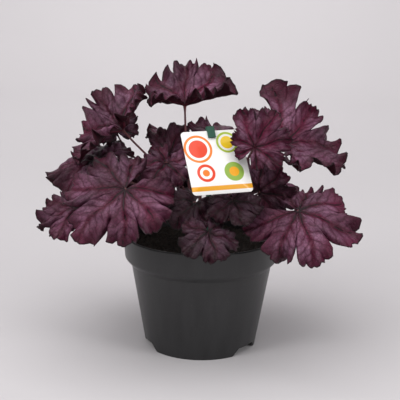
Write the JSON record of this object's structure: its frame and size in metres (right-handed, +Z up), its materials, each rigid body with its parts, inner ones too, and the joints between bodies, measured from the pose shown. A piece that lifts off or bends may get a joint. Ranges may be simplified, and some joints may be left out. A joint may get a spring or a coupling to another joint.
{
  "type": "potted heuchera",
  "caption": "Purple-leaved heuchera with lobed, ruffled leaves in a round black nursery pot, with a plain picture label held on a stake.",
  "frame": {"origin": "the middle of the pot's foot, on the surface it stands on", "axes": "+Z up, and the plant's front, where the label faces, looks along -Y"},
  "size_m": [0.301, 0.2493, 0.2711],
  "materials": {
    "pot_plastic": "moulded black plastic, satin",
    "peat_soil": "moist peat potting mix, crumbly",
    "crown_bark": "rough woody plant crown",
    "leaf_blade": "living leaf, deep purple with a silvery bloom and dark veins",
    "label_card": "printed white plastic card",
    "stake_plastic": "moulded dark green plastic"
  },
  "bodies": {
    "root": {"pot": "pot_plastic", "soil": "peat_soil", "crown": "crown_bark", "leaf_top": "leaf_blade", "leaf_upper_left": "leaf_blade", "leaf_upper_right": "leaf_blade", "leaf_left_front": "leaf_blade", "leaf_left_low": "leaf_blade", "leaf_right_front": "leaf_blade", "leaf_left_back": "leaf_blade", "leaf_right_mid": "leaf_blade", "leaf_centre": "leaf_blade", "leaf_centre_back": "leaf_blade", "leaf_under_label": "leaf_blade", "leaf_right_inner": "leaf_blade", "leaf_low_right": "leaf_blade", "leaf_rim_front": "leaf_blade", "leaf_right_dark": "leaf_blade", "leaf_left_dark": "leaf_blade", "leaf_behind_label": "leaf_blade", "leaf_upper_right_back": "leaf_blade", "leaf_back_right": "leaf_blade", "leaf_back": "leaf_blade", "leaf_back_left": "leaf_blade", "leaf_back_high": "leaf_blade", "leaf_side_right": "leaf_blade", "leaf_side_left": "leaf_blade", "label_card": "label_card", "label_stake": "stake_plastic"}
  },
  "joints": []
}
